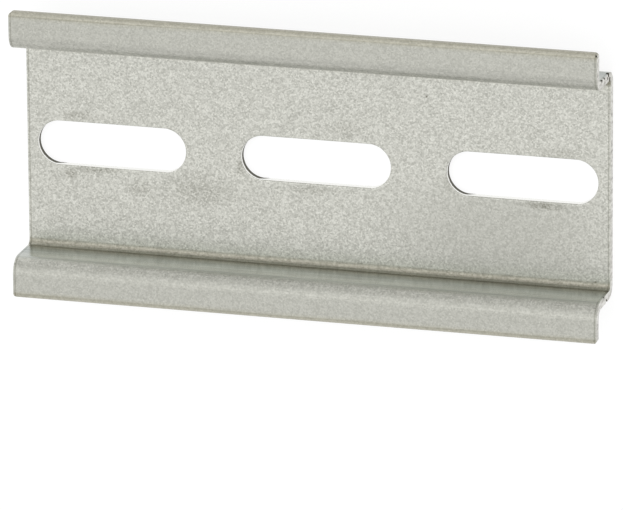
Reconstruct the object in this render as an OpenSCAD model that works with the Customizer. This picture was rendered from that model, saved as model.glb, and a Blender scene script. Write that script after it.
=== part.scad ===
// Slotted top-hat rail for clipping on electrical gear: one strip of zinc-coated steel,
// rolled into a shallow channel with a lip along each side, punched along its web and cut short.
// It lies on the back of its web. X runs along the rail, Y across it and Z out of the channel.

/* [Section] */
// Width over both lips
rail_w = 35; // [33:0.5:45]
// Height from the back of the web to the face of the lips
rail_h = 7.5; // [7:0.5:15]
// Thickness of the strip
strip_t = 1; // [0.8:0.1:1.5]
// Width over the outside of the side walls
channel_w = 27.5; // [20:0.5:28]
// Inside radius of the bends between the web and the side walls
web_bend_r = 0.65; // [0.3:0.05:1.5]
// Inside radius of the bends between the side walls and the lips
lip_bend_r = 0.9; // [0.3:0.05:1.5]

/* [Slots] */
// Number of slots left in this length of rail
slot_count = 3; // [1:1:40]
// Distance from one slot to the next
slot_pitch = 25; // [22:0.5:60]
// Length of a slot, end to end
slot_l = 18.2; // [10:0.1:20]
// Width of a slot
slot_w = 5.4; // [4:0.1:8]
// Web left between the left cut end and the first slot
left_gap = 1.3; // [1.3:0.1:20]
// Web left between the last slot and the right cut end
right_gap = 1.5; // [1.3:0.1:20]

/* [Edges] */
// Rounding of the lips' long edges, on their face side
edge_r = 0.45; // [0.1:0.05:0.6]
// Rounding of the lips' four corners at the cut ends
corner_r = 0.5; // [0.1:0.1:1]
// Rounding drawn into the rim of each slot, on the side that the punch enters
slot_rim_r = 0.15; // [0.05:0.05:0.3]

/* [Hidden] */
$fn = 48;
// How far a cutter runs past the face that it cuts
cut_over = 1;
rail_l = left_gap + (slot_count - 1) * slot_pitch + slot_l + right_gap;
// Outer radius of each bend
web_bend_out = web_bend_r + strip_t;
lip_bend_out = lip_bend_r + strip_t;
// Half widths at which the bends begin and end
wall_out = channel_w / 2;
wall_in = wall_out - strip_t;
web_bend_y = wall_out - web_bend_out;
lip_bend_y = wall_out + lip_bend_r;
// Heights at which the side wall begins and ends
web_bend_z = web_bend_out;
lip_bend_z = rail_h - lip_bend_out;
// Length of the straight sides of a slot
slot_straight = slot_l - slot_w;

// A quarter of the bent strip. side = [1, -1] is the quarter towards +Y and -Z of its centre.
module bend(inside_r, side) {
    outside_r = inside_r + strip_t;
    intersection() {
        difference() {
            circle(r = outside_r);
            circle(r = inside_r);
        }
        translate([min(side[0], 0) * outside_r, min(side[1], 0) * outside_r])
            square(outside_r);
    }
}

// One lip, flat from its bend to the long edge, where its face side is rounded
module lip() {
    edge_y = rail_w / 2;
    translate([lip_bend_y, rail_h - strip_t])
        square([edge_y - edge_r - lip_bend_y, strip_t]);
    translate([edge_y - edge_r, rail_h - strip_t])
        square([edge_r, strip_t - edge_r]);
    intersection() {
        translate([edge_y - edge_r, rail_h - edge_r])
            circle(r = edge_r);
        translate([edge_y - edge_r, rail_h - edge_r])
            square(edge_r);
    }
}

// Section of the strip from the middle of the web out to one long edge
module half_section() {
    square([web_bend_y, strip_t]);
    translate([web_bend_y, web_bend_z])
        bend(web_bend_r, [1, -1]);
    translate([wall_in, web_bend_z])
        square([strip_t, lip_bend_z - web_bend_z]);
    translate([lip_bend_y, lip_bend_z])
        bend(lip_bend_r, [-1, 1]);
    lip();
}

// Outline of the cut length seen from above, with its corners rounded
module plan() {
    straight_l = rail_l - 2 * corner_r;
    straight_w = rail_w - 2 * corner_r;
    square([rail_l, straight_w], center = true);
    square([straight_l, rail_w], center = true);
    for (x = [-1, 1], y = [-1, 1])
        translate([x * straight_l / 2, y * straight_w / 2])
            circle(r = corner_r);
}

// Half the section of a slot's cutter, with the flare that rounds the rim
module slot_half_section() {
    translate([0, -cut_over])
        square([slot_w / 2, strip_t + 2 * cut_over]);
    difference() {
        translate([0, strip_t - slot_rim_r])
            square([slot_w / 2 + slot_rim_r, slot_rim_r + cut_over]);
        translate([slot_w / 2 + slot_rim_r, strip_t - slot_rim_r])
            circle(r = slot_rim_r);
    }
}

// Cutter of one slot: straight sides between two round ends
module slot() {
    rotate([90, 0, 90])
        linear_extrude(slot_straight, center = true) {
            slot_half_section();
            mirror([1, 0]) slot_half_section();
        }
    for (x = [-1, 1])
        translate([x * slot_straight / 2, 0, 0])
            rotate_extrude() slot_half_section();
}

// The whole rail: the rolled strip, cut to length, less its row of slots
module rail() {
    color([0.78, 0.78, 0.75])
        difference() {
            intersection() {
                rotate([90, 0, 90])
                    linear_extrude(rail_l, center = true) {
                        half_section();
                        mirror([1, 0]) half_section();
                    }
                linear_extrude(rail_h) plan();
            }
            for (i = [0 : slot_count - 1])
                translate([-rail_l / 2 + left_gap + slot_l / 2 + i * slot_pitch, 0, 0])
                    slot();
        }
}

rail();
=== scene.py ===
import math

import bmesh
import bpy
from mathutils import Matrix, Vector


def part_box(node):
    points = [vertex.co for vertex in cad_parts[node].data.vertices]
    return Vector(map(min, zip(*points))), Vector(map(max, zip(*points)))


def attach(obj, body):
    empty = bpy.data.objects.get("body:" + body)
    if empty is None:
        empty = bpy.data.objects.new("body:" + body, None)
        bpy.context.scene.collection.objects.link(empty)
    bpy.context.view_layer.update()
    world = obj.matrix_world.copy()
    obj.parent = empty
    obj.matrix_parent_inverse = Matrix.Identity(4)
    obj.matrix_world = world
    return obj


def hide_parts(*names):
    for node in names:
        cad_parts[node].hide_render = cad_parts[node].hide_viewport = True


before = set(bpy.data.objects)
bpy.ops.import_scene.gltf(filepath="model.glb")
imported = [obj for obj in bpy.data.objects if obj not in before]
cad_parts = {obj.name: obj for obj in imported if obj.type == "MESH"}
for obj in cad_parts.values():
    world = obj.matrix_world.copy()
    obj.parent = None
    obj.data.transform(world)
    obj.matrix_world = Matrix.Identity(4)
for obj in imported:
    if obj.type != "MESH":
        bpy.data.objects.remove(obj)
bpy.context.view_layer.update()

# ---------------------------------------------------------------------------------------------
# The rolled strip. The rail is one strip of cold-rolled steel, 1 mm thick, rolled cold into a
# top-hat section. The mesh starts as the web at the middle of the strip's thickness. Its long
# edges are folded up into the walls and out into the lips, and rounded where they fold.

low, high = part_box("rail")
length = high[0] - low[0]
width = high[1] - low[1]
height = high[2] - low[2]
strip = 0.001
over_walls = 0.0275
walls_apart = over_walls - strip
web_fold_inside_r = 0.00065
lip_fold_inside_r = 0.0009
slit_edge_r = 0.00045


def deselect():
    """Leaves nothing selected, in object mode."""
    if bpy.context.mode != "OBJECT":
        bpy.ops.object.mode_set(mode="OBJECT")
    bpy.ops.object.select_all(action="DESELECT")


def pick(piece, kind, test):
    """In edit mode, selects the verts, edges or faces of the piece that pass the test."""
    bpy.ops.mesh.select_mode(type=kind)
    bpy.ops.mesh.select_all(action="DESELECT")
    mesh = bmesh.from_edit_mesh(piece.data)
    mesh.normal_update()
    for part in {"VERT": mesh.verts, "EDGE": mesh.edges, "FACE": mesh.faces}[kind]:
        part.select_set(test(part))
    mesh.select_flush_mode()
    bmesh.update_edit_mesh(piece.data)


def near(a, b, within=0.00002):
    """True where two lengths differ by less than a fiftieth of a millimetre."""
    return abs(a - b) < within


def runs_lengthwise(edge):
    """True for an edge that lies along the rail."""
    a, b = (v.co for v in edge.verts)
    return near(a.y, b.y) and near(a.z, b.z) and not near(a.x, b.x)


def apply_last(piece):
    """Applies the modifier that was added last."""
    bpy.ops.object.modifier_apply(modifier=piece.modifiers[-1].name)


deselect()
bpy.ops.mesh.primitive_plane_add(size=1, location=(0, 0, low[2] + strip / 2))
rail = bpy.context.object
rail.name = "rail_strip"
rail.scale = (length, walls_apart, 1)
bpy.ops.object.transform_apply(location=True, rotation=True, scale=True)

bpy.ops.object.mode_set(mode="EDIT")
pick(rail, "EDGE", runs_lengthwise)
bpy.ops.mesh.extrude_region_move(TRANSFORM_OT_translate={"value": (0, 0, height - strip)})
bpy.ops.mesh.extrude_region_move(TRANSFORM_OT_translate={"value": (0, 0, 0)})
bpy.ops.transform.resize(value=(1, width / walls_apart, 1), center_override=(0, 0, 0))
for fold_z, inside_r, steps in (
    (low[2] + strip / 2, web_fold_inside_r, 8),
    (high[2] - strip / 2, lip_fold_inside_r, 10),
):
    pick(rail, "EDGE", lambda e: runs_lengthwise(e) and all(
        near(abs(v.co.y), walls_apart / 2) and near(v.co.z, fold_z) for v in e.verts))
    bpy.ops.mesh.bevel(
        offset=inside_r + strip / 2, segments=steps, affect="EDGES", clamp_overlap=False)
bpy.ops.object.mode_set(mode="OBJECT")
bpy.ops.object.modifier_add(type="SOLIDIFY")
rail.modifiers[-1].thickness = strip
rail.modifiers[-1].offset = 0
rail.modifiers[-1].use_even_offset = True
apply_last(rail)

bpy.ops.object.mode_set(mode="EDIT")
pick(rail, "EDGE", lambda e: runs_lengthwise(e) and all(
    near(abs(v.co.y), width / 2) and near(v.co.z, high[2]) for v in e.verts))
bpy.ops.mesh.bevel(offset=slit_edge_r, segments=5, affect="EDGES", clamp_overlap=False)
bpy.ops.object.mode_set(mode="OBJECT")


def linear(hex_colour):
    """An sRGB hex colour as linear RGBA."""
    def channel(part):
        part /= 255
        return part / 12.92 if part <= 0.04045 else ((part + 0.055) / 1.055) ** 2.4
    return tuple(channel(int(hex_colour[i:i + 2], 16)) for i in (1, 3, 5)) + (1,)


def add(tree, kind, links=None, values=None, **settings):
    """Adds one node, with its settings, its fixed inputs and the sockets that feed it."""
    made = tree.nodes.new(kind)
    for name, value in settings.items():
        setattr(made, name, value)
    for name, value in (values or {}).items():
        made.inputs[name].default_value = value
    for name, socket in (links or {}).items():
        tree.links.new(socket, made.inputs[name])
    return made


def set_stops(ramp, stops):
    """Gives a colour ramp its stops, as pairs of position and hex colour."""
    points = ramp.color_ramp.elements
    while len(points) < len(stops):
        points.new(0.5)
    for point, (position, colour) in zip(points, stops):
        point.position = position
        point.color = linear(colour)


def start_metal(name):
    """Starts a metal: its material, node tree and shader, and each point's place in mm."""
    metal = bpy.data.materials.new(name)
    metal.use_nodes = True
    tree = metal.node_tree
    shader = tree.nodes["Principled BSDF"]
    shader.inputs["Metallic"].default_value = 1
    place = add(tree, "ShaderNodeTexCoord")
    spot = add(
        tree, "ShaderNodeVectorMath", {0: place.outputs["Object"]}, {"Scale": 1000},
        operation="SCALE")
    return metal, tree, shader, spot.outputs[0]


# Zinc electroplate with a clear passivation, on cold-rolled steel: a satin grey metal, a little
# yellow. The eye sees a frosty grain of about 0.2 mm, weak clouds of 1 to 2 mm, walls that the
# rolls left smoother and that are painted cooler and darker as painted reflection and shade,
# dull lines along the folds that are partly stain and partly painted shade, and a slit edge that
# is nearly bare and has stained tan.
frost_per_mm = 5.6
crystals_per_mm = 5.2
clouds_per_mm = 0.8
streaks_per_mm = (0.06, 2.2, 2.2)
zinc, tree, shader, spot = start_metal("zinc_electroplate_passivated")
axes = add(tree, "ShaderNodeSeparateXYZ", {0: spot})
across = add(tree, "ShaderNodeMath", {0: axes.outputs["Y"]}, operation="ABSOLUTE")
along = add(tree, "ShaderNodeMath", {0: axes.outputs["X"]}, operation="ABSOLUTE")

frost = add(
    tree, "ShaderNodeTexNoise", {"Vector": spot},
    {"Scale": frost_per_mm, "Detail": 1, "Roughness": 0.6})
crystal = add(tree, "ShaderNodeTexVoronoi", {"Vector": spot}, {"Scale": crystals_per_mm})
crystal_tone = add(tree, "ShaderNodeSeparateColor", {0: crystal.outputs["Color"]})
cloud = add(
    tree, "ShaderNodeTexNoise", {"Vector": spot},
    {"Scale": clouds_per_mm, "Detail": 3, "Roughness": 0.6})
drawn = add(tree, "ShaderNodeVectorMath", {0: spot}, {1: streaks_per_mm}, operation="MULTIPLY")
streak = add(
    tree, "ShaderNodeTexNoise", {"Vector": drawn.outputs[0]},
    {"Scale": 1, "Detail": 3, "Roughness": 0.6})
grain = add(
    tree, "ShaderNodeMix", {"A": frost.outputs["Fac"], "B": crystal_tone.outputs[0]},
    {"Factor": 0.4}, data_type="FLOAT")
mottle = add(
    tree, "ShaderNodeMix", {"A": grain.outputs[0], "B": cloud.outputs["Fac"]},
    {"Factor": 0.16}, data_type="FLOAT")

# Distance in mm round the section, on the channel side: 0 at the middle of the web's fold, less
# on the web, then 0.65 to 4.6 on the wall, up to 8.4 on the bend, and more on the lip.
fold_at = (walls_apart + strip) / 2 * 1000
from_middle = add(
    tree, "ShaderNodeMath", {0: across.outputs[0], 1: axes.outputs["Z"]}, operation="ADD")
round_section = add(
    tree, "ShaderNodeMath", {0: from_middle.outputs[0]}, {1: fold_at}, operation="SUBTRACT")

# The rolls left the wall with fine streaks in place of the grain, and calmed the lip's grain.
wall_low = add(
    tree, "ShaderNodeMapRange", {"Value": round_section.outputs[0]},
    {"From Min": 0.3, "From Max": 0.7}, interpolation_type="SMOOTHSTEP")
wall_high = add(
    tree, "ShaderNodeMapRange", {"Value": round_section.outputs[0]},
    {"From Min": 6.5, "From Max": 4.5}, interpolation_type="SMOOTHSTEP")
on_wall = add(
    tree, "ShaderNodeMath", {0: wall_low.outputs[0], 1: wall_high.outputs[0]},
    operation="MULTIPLY")
soft_streak = add(
    tree, "ShaderNodeMapRange", {"Value": streak.outputs["Fac"]}, {"To Min": 0.2, "To Max": 0.8})
tone = add(
    tree, "ShaderNodeMix",
    {"Factor": on_wall.outputs[0], "A": mottle.outputs[0], "B": soft_streak.outputs[0]},
    data_type="FLOAT")
on_lip = add(
    tree, "ShaderNodeMapRange", {"Value": round_section.outputs[0]},
    {"From Min": 5.5, "From Max": 7.5, "To Min": 0, "To Max": 0.4})
tone = add(
    tree, "ShaderNodeMix", {"Factor": on_lip.outputs[0], "A": tone.outputs[0]}, {"B": 0.5},
    data_type="FLOAT")

# A broad patch on the lower right of the web is painted darker, as painted shade where the light
# falls off towards the lower right, and its grain is made duller and smoother. A patch or a mark
# lies on the web's face, and fades out within about 3 mm above it.
web_face = strip * 1000
fade_upward = 0.3
dull_shaded_patch_at = (22, -7, web_face)
dull_shaded_patch_reach_x = 19
dull_shaded_patch_reach_y = 9
dull_shaded_patch_off = add(tree, "ShaderNodeVectorMath", {0: spot}, {1: dull_shaded_patch_at}, operation="SUBTRACT")
dull_shaded_patch_spread = add(
    tree, "ShaderNodeVectorMath", {0: dull_shaded_patch_off.outputs[0]},
    {1: (1 / dull_shaded_patch_reach_x, 1 / dull_shaded_patch_reach_y, fade_upward)}, operation="MULTIPLY")
dull_shaded_patch_far = add(tree, "ShaderNodeVectorMath", {0: dull_shaded_patch_spread.outputs[0]}, operation="LENGTH")
dull_and_shaded = add(
    tree, "ShaderNodeMapRange", {"Value": dull_shaded_patch_far.outputs["Value"]},
    {"From Min": 1, "From Max": 0.2, "To Min": 0, "To Max": 0.42},
    interpolation_type="SMOOTHSTEP")
# The patch is painted darker here, as painted shade.
tone = add(
    tree, "ShaderNodeMix", {"Factor": dull_and_shaded.outputs[0], "A": tone.outputs[0]}, {"B": 0.24},
    data_type="FLOAT")
body = add(tree, "ShaderNodeValToRGB", {"Fac": tone.outputs[0]})
set_stops(body, ((0.22, "#a7a79f"), (0.78, "#e1e1d9")))

# The tint round the section, from 2 mm before the fold's middle to 9 mm past it: a dull brown
# line in the fold, partly a tan stain and partly painted shade that dims the fold's highlight; a
# wall painted cooler and darkest half way up, as painted reflection and shade; and a bend painted
# a little darker than the lip, as painted shade that dims its highlight.
section_reach = add(
    tree, "ShaderNodeMapRange", {"Value": round_section.outputs[0]},
    {"From Min": -2, "From Max": 9})
section_stain_and_shade = add(tree, "ShaderNodeValToRGB", {"Fac": section_reach.outputs[0]})
set_stops(section_stain_and_shade, (
    (0.00, "#ffffff"), (0.10, "#fefefc"), (0.12, "#d9d7d0"), (0.14, "#d0cdc4"),
    (0.18, "#bfbcb3"), (0.21, "#dcdbd5"), (0.235, "#fafbfa"), (0.255, "#ffffff"),
    (0.29, "#f0f4f5"), (0.34, "#dbe1e3"), (0.41, "#ced5d8"), (0.48, "#dce2e5"),
    (0.56, "#e5e9eb"), (0.64, "#f2f6f8"), (0.70, "#fcfcfc"), (0.74, "#f4f4f4"),
    (0.79, "#e6e6e5"), (0.89, "#e0e0df"), (0.93, "#eeeeed")))
stained_and_shaded = add(
    tree, "ShaderNodeMix", {6: body.outputs[0], 7: section_stain_and_shade.outputs[0]}, {0: 1},
    data_type="RGBA", blend_type="MULTIPLY")

# The slit edge: a dull line where its rounding starts, which is painted shade that dims the
# rounding's highlight, a paler one on the rounding, and tan steel on the edge itself. The borders
# are ragged, and follow the streaks.
slit_at = width / 2 * 1000
ragged = add(
    tree, "ShaderNodeMath", {0: streak.outputs["Fac"], 2: across.outputs[0]}, {1: 0.5},
    operation="MULTIPLY_ADD")
edge_reach = add(
    tree, "ShaderNodeMapRange", {"Value": ragged.outputs[0]},
    {"From Min": slit_at - 0.75, "From Max": slit_at + 0.25})
edge_stain_and_shade = add(tree, "ShaderNodeValToRGB", {"Fac": edge_reach.outputs[0]})
set_stops(edge_stain_and_shade, (
    (0.00, "#ffffff"), (0.40, "#fbfaf6"), (0.54, "#e4e1d8"), (0.78, "#f1eee7"),
    (1.00, "#e2ded3")))
edged = add(
    tree, "ShaderNodeMix", {6: stained_and_shaded.outputs[2], 7: edge_stain_and_shade.outputs[0]}, {0: 1},
    data_type="RGBA", blend_type="MULTIPLY")

# A dull line across the plate, a quarter of a millimetre from each end, is painted shade on the
# rim that the shear drew over.
end_at = length / 2 * 1000
end_reach = add(
    tree, "ShaderNodeMapRange", {"Value": along.outputs[0]},
    {"From Min": end_at - 0.6, "From Max": end_at})
end_rim_shade = add(tree, "ShaderNodeValToRGB", {"Fac": end_reach.outputs[0]})
set_stops(end_rim_shade, ((0.40, "#ffffff"), (0.52, "#dededb"), (0.66, "#dadad7"), (0.76, "#ffffff")))
ended = add(
    tree, "ShaderNodeMix", {6: edged.outputs[2], 7: end_rim_shade.outputs[0]}, {0: 1},
    data_type="RGBA", blend_type="MULTIPLY")

# Marks of handling and punching on the web: where each lies and how far it reaches, in mm, and
# how dark it is. The one at the right end next to the rear wall's fold is painted shade, in the
# corner where the fold meets the end. The last two are pits in the plate.
marks = (
    (-30.2, -3.7, 1.5, 0.9, 0.45),
    (-27.0, -3.0, 4.5, 0.6, 0.40),
    (-29.0, 3.5, 4.0, 0.9, 0.30),
    (-14.5, -4.6, 6.0, 3.0, 0.22),
    (-21.5, -5.0, 3.0, 1.5, 0.20),
    (-9.2, -1.2, 0.9, 1.8, 0.30),
    (-0.5, -3.4, 4.0, 1.0, 0.22),
    (3.5, 4.3, 3.0, 1.5, 0.20),
    (16.0, -1.2, 1.0, 1.8, 0.30),
    (27.4, -3.2, 4.0, 0.7, 0.50),
    (29.0, 3.3, 4.5, 0.8, 0.22),
    # Painted shade, in the corner where the rear wall's fold meets the right end.
    (35.1, 12.3, 0.9, 0.6, 0.75),
    (13.4, 9.0, 0.18, 0.18, 1.00),
    (33.7, -12.0, 0.3, 0.2, 1.00),
)
worn_and_shaded = None
for mark_x, mark_y, reach_x, reach_y, strength in marks:
    mark_off = add(
        tree, "ShaderNodeVectorMath", {0: spot}, {1: (mark_x, mark_y, web_face)},
        operation="SUBTRACT")
    mark_spread = add(
        tree, "ShaderNodeVectorMath", {0: mark_off.outputs[0]},
        {1: (1 / reach_x, 1 / reach_y, fade_upward)}, operation="MULTIPLY")
    mark_far = add(
        tree, "ShaderNodeVectorMath", {0: mark_spread.outputs[0]}, operation="LENGTH")
    mark = add(
        tree, "ShaderNodeMapRange", {"Value": mark_far.outputs["Value"]},
        {"From Min": 1, "From Max": 0, "To Min": 0, "To Max": strength},
        interpolation_type="SMOOTHSTEP")
    if worn_and_shaded:
        worn_and_shaded = add(
            tree, "ShaderNodeMath", {0: worn_and_shaded.outputs[0], 1: mark.outputs[0]},
            operation="MAXIMUM")
    else:
        worn_and_shaded = mark
patchy = add(
    tree, "ShaderNodeMapRange", {"Value": mottle.outputs[0]},
    {"From Min": 0.65, "From Max": 0.35, "To Min": 0.6, "To Max": 1.3})
grime_and_shade = add(
    tree, "ShaderNodeMath", {0: worn_and_shaded.outputs[0], 1: patchy.outputs[0]},
    operation="MULTIPLY", use_clamp=True)
marked = add(
    tree, "ShaderNodeMix", {0: grime_and_shade.outputs[0], 6: ended.outputs[2]},
    {7: linear("#6e6c5e")}, data_type="RGBA")
tree.links.new(marked.outputs[2], shader.inputs["Base Color"])

# The walls are the smoothest. The plate is stretched and dull on the first half of the bend.
bend_at = 6.1
rough = add(
    tree, "ShaderNodeMapRange", {"Value": tone.outputs[0]},
    {"From Min": 0.3, "From Max": 0.7, "To Min": 0.39, "To Max": 0.31})
smooth_wall = add(
    tree, "ShaderNodeMath", {0: on_wall.outputs[0], 2: rough.outputs[0]}, {1: -0.13},
    operation="MULTIPLY_ADD")
off_bend = add(
    tree, "ShaderNodeMath", {0: round_section.outputs[0]}, {1: bend_at}, operation="SUBTRACT")
from_bend = add(tree, "ShaderNodeMath", {0: off_bend.outputs[0]}, operation="ABSOLUTE")
bend_dull = add(
    tree, "ShaderNodeMapRange", {"Value": from_bend.outputs[0]},
    {"From Min": 1.5, "From Max": 0.5, "To Min": 0, "To Max": 0.2},
    interpolation_type="SMOOTHSTEP")
dulled = add(
    tree, "ShaderNodeMath", {0: smooth_wall.outputs[0], 1: bend_dull.outputs[0]},
    operation="ADD")
tree.links.new(dulled.outputs[0], shader.inputs["Roughness"])
bump = add(
    tree, "ShaderNodeBump", {"Height": tone.outputs[0]}, {"Strength": 0.35, "Distance": 0.00003})
tree.links.new(bump.outputs[0], shader.inputs["Normal"])
rail.data.materials.append(zinc)

# ---------------------------------------------------------------------------------------------
# The sheared ends. The rail is cut from a long length by a shear, which draws the rim over a
# little and tears a few chips out of the bare steel. The corners of the lips are rounded.

corner_r = 0.0005
end_rim_r = 0.00012


def cut_rail(cutter, how):
    """Cuts the rail with another piece, which is used up."""
    deselect()
    bpy.context.view_layer.objects.active = rail
    rail.select_set(True)
    bpy.ops.object.modifier_add(type="BOOLEAN")
    rail.modifiers[-1].operation = how
    rail.modifiers[-1].object = cutter
    apply_last(rail)
    bpy.data.objects.remove(cutter)


def bare_faces(metal, test):
    """Gives a bare metal to the faces of the rail that pass the test."""
    rail.data.materials.append(metal)
    rail.active_material_index = len(rail.data.materials) - 1
    bpy.ops.object.mode_set(mode="EDIT")
    pick(rail, "FACE", test)
    bpy.ops.object.material_slot_assign()
    bpy.ops.object.mode_set(mode="OBJECT")


deselect()
bpy.ops.mesh.primitive_cube_add(size=1, location=(0, 0, (low[2] + high[2]) / 2))
shear = bpy.context.object
shear.scale = (length, width, 2 * height)
bpy.ops.object.transform_apply(location=True, rotation=True, scale=True)
bpy.ops.object.mode_set(mode="EDIT")
pick(shear, "EDGE", lambda e: not near(e.verts[0].co.z, e.verts[1].co.z))
bpy.ops.mesh.bevel(offset=corner_r, segments=6, affect="EDGES")
bpy.ops.object.mode_set(mode="OBJECT")
cut_rail(shear, "INTERSECT")

bpy.ops.object.mode_set(mode="EDIT")
pick(rail, "EDGE", lambda e: all(near(abs(v.co.x), length / 2) for v in e.verts)
    and any(abs(f.normal.x) < 0.7 for f in e.link_faces))
bpy.ops.mesh.bevel(offset=end_rim_r, segments=2, affect="EDGES", clamp_overlap=True)
bpy.ops.object.mode_set(mode="OBJECT")

# The chips in the right end: where the middle of each lies, and its radius. All but the last are
# in the ends of the walls, and the last is in the slit edge of a lip.
chips = (
    (length / 2, 0.01370, 0.0022, 0.00034),
    (length / 2, 0.01330, 0.0026, 0.00020),
    (length / 2, 0.01372, 0.0052, 0.00026),
    (length / 2, 0.01372, 0.0041, 0.00022),
    (length / 2, 0.01290, 0.0016, 0.00034),
    (length / 2, -0.01370, 0.0028, 0.00036),
    (length / 2, -0.01280, 0.0040, 0.00020),
    (length / 2 - 0.0001, 0.01728, 0.0074, 0.00016),
)
chip_ragged = 0.35
for seed, (chip_x, chip_y, chip_z, chip_r) in enumerate(chips):
    deselect()
    bpy.ops.mesh.primitive_ico_sphere_add(
        subdivisions=2, radius=chip_r, location=(chip_x, chip_y, chip_z))
    chip = bpy.context.object
    bpy.ops.object.transform_apply(location=True, rotation=True, scale=True)
    bpy.ops.object.mode_set(mode="EDIT")
    bpy.ops.transform.vertex_random(offset=chip_r * chip_ragged, seed=seed)
    bpy.ops.object.mode_set(mode="OBJECT")
    cut_rail(chip, "DIFFERENCE")

# Bare steel where the shear went through: bright, and smeared down the cut with darker, torn
# streaks about 0.4 mm wide.
torn_per_mm = 2.4
sheared, tree, shader, spot = start_metal("sheared_steel_end")
smeared = add(tree, "ShaderNodeVectorMath", {0: spot}, {1: (1, 1, 0.35)}, operation="MULTIPLY")
torn_grain = add(
    tree, "ShaderNodeTexNoise", {"Vector": smeared.outputs[0]},
    {"Scale": torn_per_mm, "Detail": 3, "Roughness": 0.65})
cut_face = add(tree, "ShaderNodeValToRGB", {"Fac": torn_grain.outputs["Fac"]})
set_stops(cut_face, ((0.32, "#96948b"), (0.44, "#bfbdb6"), (0.60, "#dcdbd5")))
tree.links.new(cut_face.outputs[0], shader.inputs["Base Color"])
shader.inputs["Roughness"].default_value = 0.35
bump = add(
    tree, "ShaderNodeBump", {"Height": torn_grain.outputs["Fac"]},
    {"Strength": 0.5, "Distance": 0.0001})
tree.links.new(bump.outputs[0], shader.inputs["Normal"])
end_depth = 0.0004
bare_faces(sheared, lambda f: abs(f.calc_center_median().x) > length / 2 - end_depth
    and abs(f.normal.x) > 0.8)

# Torn steel in the chips: rough, mottled every 0.2 mm, and dark.
pitted_per_mm = 5
torn, tree, shader, spot = start_metal("torn_steel_chip")
shader.inputs["Roughness"].default_value = 0.6
torn_grain = add(
    tree, "ShaderNodeTexNoise", {"Vector": spot},
    {"Scale": pitted_per_mm, "Detail": 2, "Roughness": 0.6})
chip_face = add(tree, "ShaderNodeValToRGB", {"Fac": torn_grain.outputs["Fac"]})
set_stops(chip_face, ((0.35, "#2c2a22"), (0.65, "#6b675a")))
tree.links.new(chip_face.outputs[0], shader.inputs["Base Color"])
chip_face_area = 0.0000001
bare_faces(torn, lambda f: f.calc_area() < chip_face_area and any(
    (f.calc_center_median() - Vector(chip[:3])).length < chip[3] * (1 + chip_ragged)
    for chip in chips))

# ---------------------------------------------------------------------------------------------
# The slots. Three round-ended slots are punched through the web from the channel side. The punch
# rounds the rim that it enters, polishes the upper part of the wall and tears the rest.

slot_length = 0.0182
slot_width = 0.0054
slot_pitch = 0.025
slots_at = -0.0001
slot_straight = slot_length - slot_width
slot_rim_r = 0.00015
end_margin = 0.0005
slack = 0.00001
for count in (-1, 0, 1):
    middle = slots_at + count * slot_pitch
    deselect()
    bpy.ops.mesh.primitive_cylinder_add(
        vertices=64, radius=slot_width / 2, depth=4 * strip, location=(middle, 0, low[2]))
    punch = bpy.context.object
    bpy.ops.object.transform_apply(location=True, rotation=True, scale=True)
    bpy.ops.object.mode_set(mode="EDIT")
    for side in (-1, 1):
        pick(punch, "VERT", lambda v: (v.co.x - middle) * side > slack)
        bpy.ops.transform.translate(value=(side * slot_straight / 2, 0, 0))
    bpy.ops.object.mode_set(mode="OBJECT")
    cut_rail(punch, "DIFFERENCE")

bpy.ops.object.mode_set(mode="EDIT")
pick(rail, "EDGE", lambda e: all(
    near(v.co.z, low[2] + strip) and abs(v.co.y) < slot_width / 2 + slack
    and abs(v.co.x) < length / 2 - end_margin for v in e.verts)
    and any(abs(f.normal.z) < 0.5 for f in e.link_faces))
bpy.ops.mesh.bevel(offset=slot_rim_r, segments=3, affect="EDGES", clamp_overlap=False)

# The cuts leave a few points that all but touch each other, which are merged.
touching = 0.000002
bpy.ops.mesh.select_all(action="SELECT")
bpy.ops.mesh.remove_doubles(threshold=touching)
bpy.ops.mesh.dissolve_degenerate(threshold=touching)
bpy.ops.object.mode_set(mode="OBJECT")

# Bare steel where the punch went through: polished bright below the rim, then torn and dark, with
# a grain of 0.3 mm. Over the last 2 mm at the left end of each slot the dark reaches further up
# the wall, as painted shade where that end of the wall lies in shadow. Each pitch is measured in
# mm from the middle of the bridge on the left.
grain_per_mm = 3.5
half_bridge = (slot_pitch - slot_length) / 2 * 1000
first_bridge_at = (1.5 * slot_pitch - slots_at) * 1000
punched, tree, shader, spot = start_metal("punched_steel_wall")
axes = add(tree, "ShaderNodeSeparateXYZ", {0: spot})
torn_grain = add(
    tree, "ShaderNodeTexNoise", {"Vector": spot},
    {"Scale": grain_per_mm, "Detail": 3, "Roughness": 0.6})
from_bridge = add(
    tree, "ShaderNodeMath", {0: axes.outputs["X"]}, {1: first_bridge_at}, operation="ADD")
in_pitch = add(
    tree, "ShaderNodeMath", {0: from_bridge.outputs[0]}, {1: slot_pitch * 1000},
    operation="MODULO")
# The left end of each slot is painted darker further up its wall, as painted shade.
left_end_shade = add(
    tree, "ShaderNodeMapRange", {"Value": in_pitch.outputs[0]},
    {"From Min": half_bridge + 3.7, "From Max": half_bridge + 2, "To Min": -0.35, "To Max": 0.5})
tear_and_shade_line = add(
    tree, "ShaderNodeMath", {0: torn_grain.outputs["Fac"], 2: left_end_shade.outputs[0]}, {1: 0.3},
    operation="MULTIPLY_ADD")
above_tear_and_shade = add(
    tree, "ShaderNodeMath", {0: axes.outputs["Z"], 1: tear_and_shade_line.outputs[0]},
    operation="SUBTRACT")
torn_and_shaded = add(
    tree, "ShaderNodeMapRange", {"Value": above_tear_and_shade.outputs[0]},
    {"From Min": 0.05, "From Max": -0.05})
wall_face = add(
    tree, "ShaderNodeMix", {0: torn_and_shaded.outputs[0]}, {6: linear("#f4f4f0"), 7: linear("#66645a")},
    data_type="RGBA")
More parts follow.
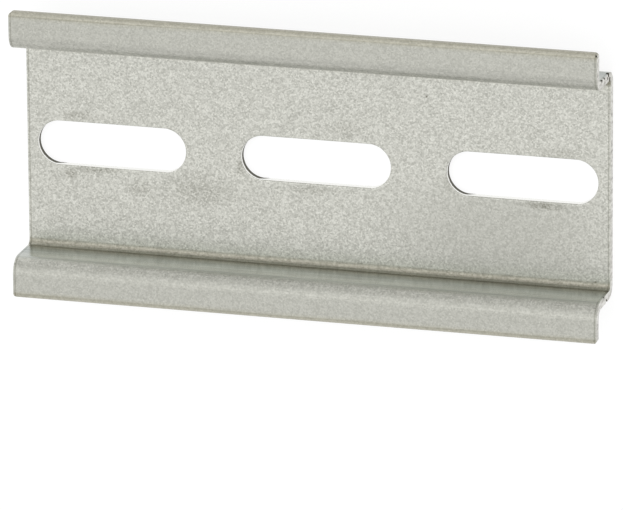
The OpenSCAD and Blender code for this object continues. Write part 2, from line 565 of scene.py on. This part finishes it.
tree.links.new(wall_face.outputs[2], shader.inputs["Base Color"])
rough = add(
    tree, "ShaderNodeMapRange", {"Value": torn_and_shaded.outputs[0]}, {"To Min": 0.2, "To Max": 0.6})
tree.links.new(rough.outputs[0], shader.inputs["Roughness"])
bump = add(
    tree, "ShaderNodeBump", {"Height": torn_grain.outputs["Fac"]},
    {"Strength": 0.4, "Distance": 0.00005})
tree.links.new(bump.outputs[0], shader.inputs["Normal"])
bare_faces(punched, lambda f: abs(f.normal.z) < 0.3
    and abs(f.calc_center_median().y) < slot_width / 2
    and abs(f.calc_center_median().x) < length / 2 - end_margin)

# With all its cuts made, the rail is shaded smooth round its folds and rims.
bpy.ops.object.shade_smooth_by_angle(angle=math.radians(30))
bpy.ops.object.modifier_add(type="WEIGHTED_NORMAL")
rail.modifiers[-1].weight = 100
rail.modifiers[-1].keep_sharp = True
apply_last(rail)

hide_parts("rail")
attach(rail, "root")

# ---------------------------------------------------------------------------------------------
# The table. A wide sheet of white studio paper that the rail lies on. It shows as white to the
# eye and in the metal, and takes a soft shadow under the rail.

deselect()
bpy.ops.mesh.primitive_plane_add(size=4, location=(0, 0, low[2]))
table = bpy.context.object
table.name = "studio_table"
bpy.ops.object.transform_apply(location=True, rotation=True, scale=True)
paper = bpy.data.materials.new("white_studio_paper")
paper.use_nodes = True
tree = paper.node_tree
sheet = tree.nodes["Principled BSDF"]
sheet.inputs["Base Color"].default_value = linear("#eeeeee")
sheet.inputs["Roughness"].default_value = 0.9
way = add(tree, "ShaderNodeLightPath")
seen_or_mirrored = add(
    tree, "ShaderNodeMath", {0: way.outputs["Is Camera Ray"], 1: way.outputs["Is Glossy Ray"]},
    operation="MAXIMUM")
looked_at = add(
    tree, "ShaderNodeMath",
    {0: seen_or_mirrored.outputs[0], 1: way.outputs["Is Transmission Ray"]}, operation="MAXIMUM")
# Where it is looked at, most of its white is a glow, and the lit rest of it takes the shadow.
white = add(tree, "ShaderNodeEmission", {}, {"Color": (1, 1, 1, 1), "Strength": 0.84})
shade = add(tree, "ShaderNodeBsdfDiffuse", {}, {"Color": (0.2, 0.2, 0.2, 1)})
seen_white = add(tree, "ShaderNodeAddShader", {0: shade.outputs[0], 1: white.outputs[0]})
surface = add(
    tree, "ShaderNodeMixShader",
    {0: looked_at.outputs[0], 1: sheet.outputs[0], 2: seen_white.outputs[0]})
tree.links.new(surface.outputs[0], tree.nodes["Material Output"].inputs["Surface"])
table.data.materials.append(paper)

# ---------------------------------------------------------------------------------------------
# The light. An even white surround, a little brighter above and to the rear and from a white
# card low in front, and one large soft lamp overhead.

world = bpy.data.worlds.new("studio")
bpy.context.scene.world = world
world.use_nodes = True
tree = world.node_tree
background = tree.nodes["Background"]
toward = add(tree, "ShaderNodeTexCoord")
toward_rear = add(
    tree, "ShaderNodeVectorMath", {0: toward.outputs["Generated"]}, {1: (-0.3, 0.7, 0.3)},
    operation="DOT_PRODUCT")
surround = add(
    tree, "ShaderNodeMapRange", {"Value": toward_rear.outputs["Value"]},
    {"From Min": -0.8, "From Max": 0.8, "To Min": 0.78, "To Max": 1.1})
toward_front = add(
    tree, "ShaderNodeVectorMath", {0: toward.outputs["Generated"]}, {1: (0, -1, 0)},
    operation="DOT_PRODUCT")
front_card = add(
    tree, "ShaderNodeMapRange", {"Value": toward_front.outputs["Value"]},
    {"From Min": 0.35, "From Max": 0.9, "To Min": 0, "To Max": 0.28})
glow = add(
    tree, "ShaderNodeMath", {0: surround.outputs[0], 1: front_card.outputs[0]}, operation="ADD")
tree.links.new(glow.outputs[0], background.inputs["Strength"])
background.inputs["Color"].default_value = (1, 1, 1, 1)

softbox_data = bpy.data.lights.new("softbox", "AREA")
softbox_data.shape = "SQUARE"
softbox_data.size = 0.8
softbox_data.energy = 0.9
softbox = bpy.data.objects.new("softbox", softbox_data)
bpy.context.collection.objects.link(softbox)
softbox.location = (-0.15, 0.25, 1.2)
softbox.rotation_euler = softbox.location.to_track_quat("Z", "Y").to_euler()

# ---------------------------------------------------------------------------------------------
# The camera. It looks down on the rail with a long lens, from a little to the right and to the
# rear of it.

swing = math.radians(16.3)
tip = math.radians(17.4)
roll = math.radians(-0.45)
aim = Vector((0.0012, -0.0093, high[2]))
away = 1.013
camera_data = bpy.data.cameras.new("camera")
camera_data.lens = 502
camera_data.sensor_width = 36
camera_data.clip_start = 0.05
camera = bpy.data.objects.new("camera", camera_data)
bpy.context.collection.objects.link(camera)
camera.rotation_mode = "ZXY"
camera.rotation_euler = (-tip, swing, roll)
back = Vector((math.sin(swing) * math.cos(tip), math.sin(tip), math.cos(swing) * math.cos(tip)))
camera.location = aim + back * away
bpy.context.scene.camera = camera

bpy.context.scene.view_settings.view_transform = "Standard"
